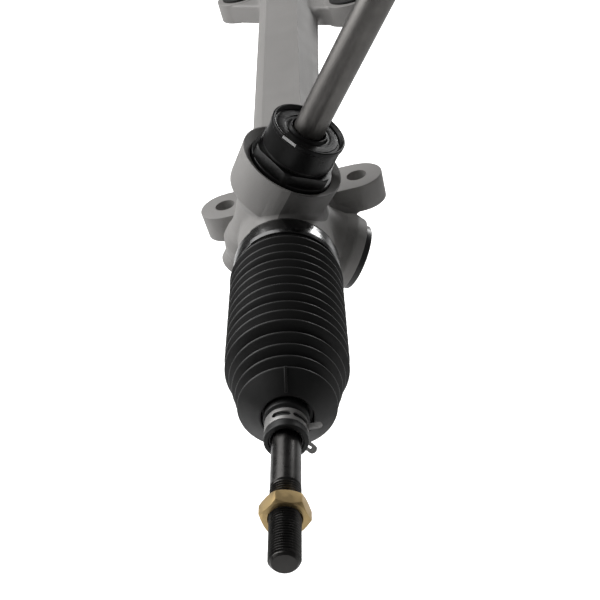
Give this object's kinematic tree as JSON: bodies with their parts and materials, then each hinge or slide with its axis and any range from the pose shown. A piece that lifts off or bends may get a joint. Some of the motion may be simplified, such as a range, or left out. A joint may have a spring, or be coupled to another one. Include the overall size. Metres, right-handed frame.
{
  "type": "steering rack",
  "caption": "Manual rack-and-pinion steering gear with cast housing, sliding rack, input shaft, tie rods on inner ball joints, rubber boots, ears and a bushed bracket.",
  "frame": {"origin": "middle of the two ear bolt holes beside the pinion, on the seat face", "axes": "+X along the rack towards the pinion's end, +Z along the ear bolts towards the input shaft, +Y completes the right hand"},
  "size_m": [0.8992, 0.1569, 0.1913],
  "materials": {
    "cast_aluminium": "die cast, matt",
    "white_plastic": "moulded",
    "brown_plastic": "moulded",
    "black_plastic": "moulded, satin",
    "bright_steel": "ground",
    "shaft_steel": "oiled, dark satin",
    "rod_steel": "oiled, dark satin",
    "dark_steel": "phosphated",
    "black_steel": "black coated",
    "bearing_steel": "polished",
    "zinc_steel": "zinc plated",
    "clamp_steel": "dark, smooth",
    "yellow_zinc": "yellow passivated",
    "bronze": "sintered",
    "seal_rubber": "moulded",
    "boot_rubber": "moulded, satin"
  },
  "bodies": {
    "housing": {"rack_housing": "cast_aluminium", "rack_bush": "white_plastic", "rack_bush_retainer": "bright_steel", "lower_pinion_bush": "bronze", "bearing_outer_race": "bearing_steel", "bearing_plug": "black_steel", "shaft_seal": "seal_rubber", "plug_lock_ring": "dark_steel", "dust_cover": "black_plastic", "rack_yoke": "cast_aluminium", "yoke_liner": "white_plastic", "yoke_o_ring": "seal_rubber", "yoke_spring": "bright_steel", "yoke_plug": "black_steel", "yoke_lock_nut": "black_steel", "right_bracket_bush": "seal_rubber", "right_bracket_sleeve": "zinc_steel", "left_bracket_bush": "seal_rubber", "left_bracket_sleeve": "zinc_steel", "near_boot": "boot_rubber", "near_large_clamp": "clamp_steel", "far_boot": "boot_rubber", "far_large_clamp": "clamp_steel"},
    "rack": {"rack_bar": "bright_steel", "near_ball_socket": "dark_steel", "near_stop_washer": "zinc_steel", "far_ball_socket": "dark_steel", "far_stop_washer": "zinc_steel"},
    "pinion": {"pinion_shaft": "shaft_steel", "bearing_inner_race": "bearing_steel", "pinion_circlip": "black_steel"},
    "bearing_rollers": {"bearing_balls": "bearing_steel", "bearing_cage": "brown_plastic"},
    "near_seat": {"near_ball_seat": "white_plastic"},
    "near_rod": {"near_tie_rod": "rod_steel", "near_lock_nut": "yellow_zinc", "near_small_clamp": "clamp_steel"},
    "far_seat": {"far_ball_seat": "white_plastic"},
    "far_rod": {"far_tie_rod": "rod_steel", "far_lock_nut": "yellow_zinc", "far_small_clamp": "clamp_steel"}
  },
  "joints": [
    {"name": "rack_slide", "type": "slide", "parent": "housing", "child": "rack", "axis": [1, 0, 0], "range_m": [-0.05, 0.05], "deforming": ["near_boot", "far_boot"]},
    {"name": "pinion_turn", "type": "hinge", "parent": "housing", "child": "pinion", "pos_m": [0.0298, -0.01531, 0.01602], "axis": [0.1426, 0.6025, 0.7852], "range_deg": [-410, 410]},
    {"name": "bearing_roll", "type": "hinge", "parent": "housing", "child": "bearing_rollers", "pos_m": [0.0298, -0.01531, 0.01602], "axis": [0.1426, 0.6025, 0.7852], "range_deg": [-160, 160]},
    {"name": "near_rod_steer", "type": "hinge", "parent": "rack", "child": "near_seat", "pos_m": [0.15, -0.0042, 0.0075], "axis": [0, 0, 1], "range_deg": [-16, 16]},
    {"name": "near_rod_bounce", "type": "hinge", "parent": "near_seat", "child": "near_rod", "pos_m": [0.15, -0.0042, 0.0075], "axis": [0, 1, 0], "range_deg": [-16, 16]},
    {"name": "far_rod_steer", "type": "hinge", "parent": "rack", "child": "far_seat", "pos_m": [-0.53, -0.0042, 0.0075], "axis": [0, 0, 1], "range_deg": [-16, 16]},
    {"name": "far_rod_bounce", "type": "hinge", "parent": "far_seat", "child": "far_rod", "pos_m": [-0.53, -0.0042, 0.0075], "axis": [0, 1, 0], "range_deg": [-16, 16]}
  ],
  "couplings": [
    {"joint": "pinion_turn", "follows": "rack_slide", "rad_per_m": -142.86},
    {"joint": "bearing_roll", "follows": "rack_slide", "rad_per_m": -55.495}
  ]
}
